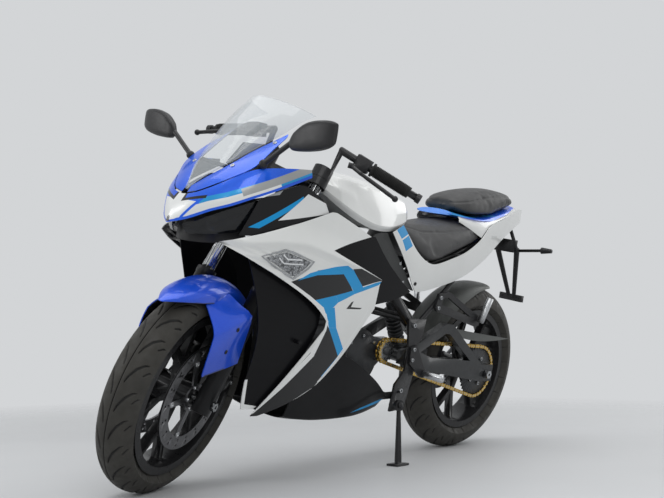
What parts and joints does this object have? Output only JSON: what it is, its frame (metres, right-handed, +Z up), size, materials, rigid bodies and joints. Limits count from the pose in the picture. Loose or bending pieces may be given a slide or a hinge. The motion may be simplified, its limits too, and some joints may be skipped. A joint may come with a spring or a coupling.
{
  "type": "electric motorcycle",
  "caption": "Faired electric sport motorcycle leaning on its side stand, with turning wheels, steering fork and fold-back stand.",
  "frame": {"origin": "on the ground, at the middle of the bounding box of the parked machine", "axes": "+X to the front of the machine, +Y to its left, +Z up"},
  "size_m": [1.9373, 0.7951, 1.1113],
  "materials": {
    "alloy": "cast alloy",
    "arm_grey": "dark grey satin paint",
    "black_plastic": "grained black plastic",
    "blue_paint": "gloss blue paint",
    "case_grey": "dark grey cast case",
    "chrome": "hard chrome",
    "clear_lens": "clear lens",
    "dark_lens": "smoked clear lens",
    "frame_black": "satin black powder coat",
    "gloss_black": "gloss black paint",
    "gold_chain": "gold plated links",
    "grey_plastic": "grey plastic",
    "red_lens": "red lens",
    "red_spring": "red enamel",
    "rim_black": "satin black wheel paint",
    "rubber": "moulded rubber",
    "screen": "clear acrylic",
    "seat_vinyl": "dark grey grained vinyl",
    "steel": "bare machined steel",
    "tyre": "tyre rubber",
    "white_paint": "gloss white paint"
  },
  "bodies": {
    "chassis": {"frame": "frame_black", "battery_box": "case_grey", "drive_motor": "case_grey", "front_sprocket": "steel", "swingarm": "arm_grey", "rear_shock": "red_spring", "rear_axle": "steel", "drive_chain": "gold_chain", "rear_hugger": "grey_plastic", "rear_caliper": "frame_black", "nose_cowl": "blue_paint", "screen_surround": "blue_paint", "windscreen": "screen", "headlights": "dark_lens", "lamp_housing": "black_plastic", "instrument_panel": "black_plastic", "mirrors": "black_plastic", "side_fairings": "white_paint", "cheek_panels": "gloss_black", "inner_fairings": "gloss_black", "belly_pan": "gloss_black", "front_signals": "clear_lens", "tank_cover": "white_paint", "knee_panels": "grey_plastic", "rider_seat": "seat_vinyl", "pillion_seat": "seat_vinyl", "tail_fairing": "white_paint", "seat_trim": "blue_paint", "tail_lamp": "red_lens", "undertail": "black_plastic", "plate_holder": "black_plastic", "rear_signals": "black_plastic", "footrest_brackets": "frame_black", "footpegs": "alloy"},
    "steering": {"steering_yokes": "frame_black", "fork_tubes": "chrome", "fork_sliders": "frame_black", "front_axle": "steel", "front_fender": "blue_paint", "front_calipers": "frame_black", "handlebars": "frame_black", "grips": "rubber", "control_pods": "black_plastic", "levers": "frame_black"},
    "front_wheel": {"front_tyre": "tyre", "front_rim": "rim_black", "front_discs": "steel"},
    "rear_wheel": {"rear_tyre": "tyre", "rear_rim": "rim_black", "rear_disc": "steel", "rear_sprocket": "steel"},
    "side_stand": {"side_stand": "steel"}
  },
  "joints": [
    {"name": "steering_turn", "type": "hinge", "parent": "chassis", "child": "steering", "pos_m": [0.66007, -0.16767, 0.26569], "axis": [0.4185, -0.2039, -0.885], "range_deg": [0, 46]},
    {"name": "front_wheel_spin", "type": "hinge", "parent": "steering", "child": "front_wheel", "pos_m": [0.69157, -0.15002, 0.27653], "axis": [-0.3558, 0.8598, -0.3663], "continuous": true},
    {"name": "rear_wheel_spin", "type": "hinge", "parent": "chassis", "child": "rear_wheel", "pos_m": [-0.65197, -0.15937, 0.30772], "axis": [-0.001, 0.9744, -0.2249], "continuous": true},
    {"name": "stand_fold", "type": "hinge", "parent": "chassis", "child": "side_stand", "pos_m": [-0.11111, -0.01906, 0.19279], "axis": [0.138, 0.9904, -0.0021], "range_deg": [0, 95]}
  ]
}
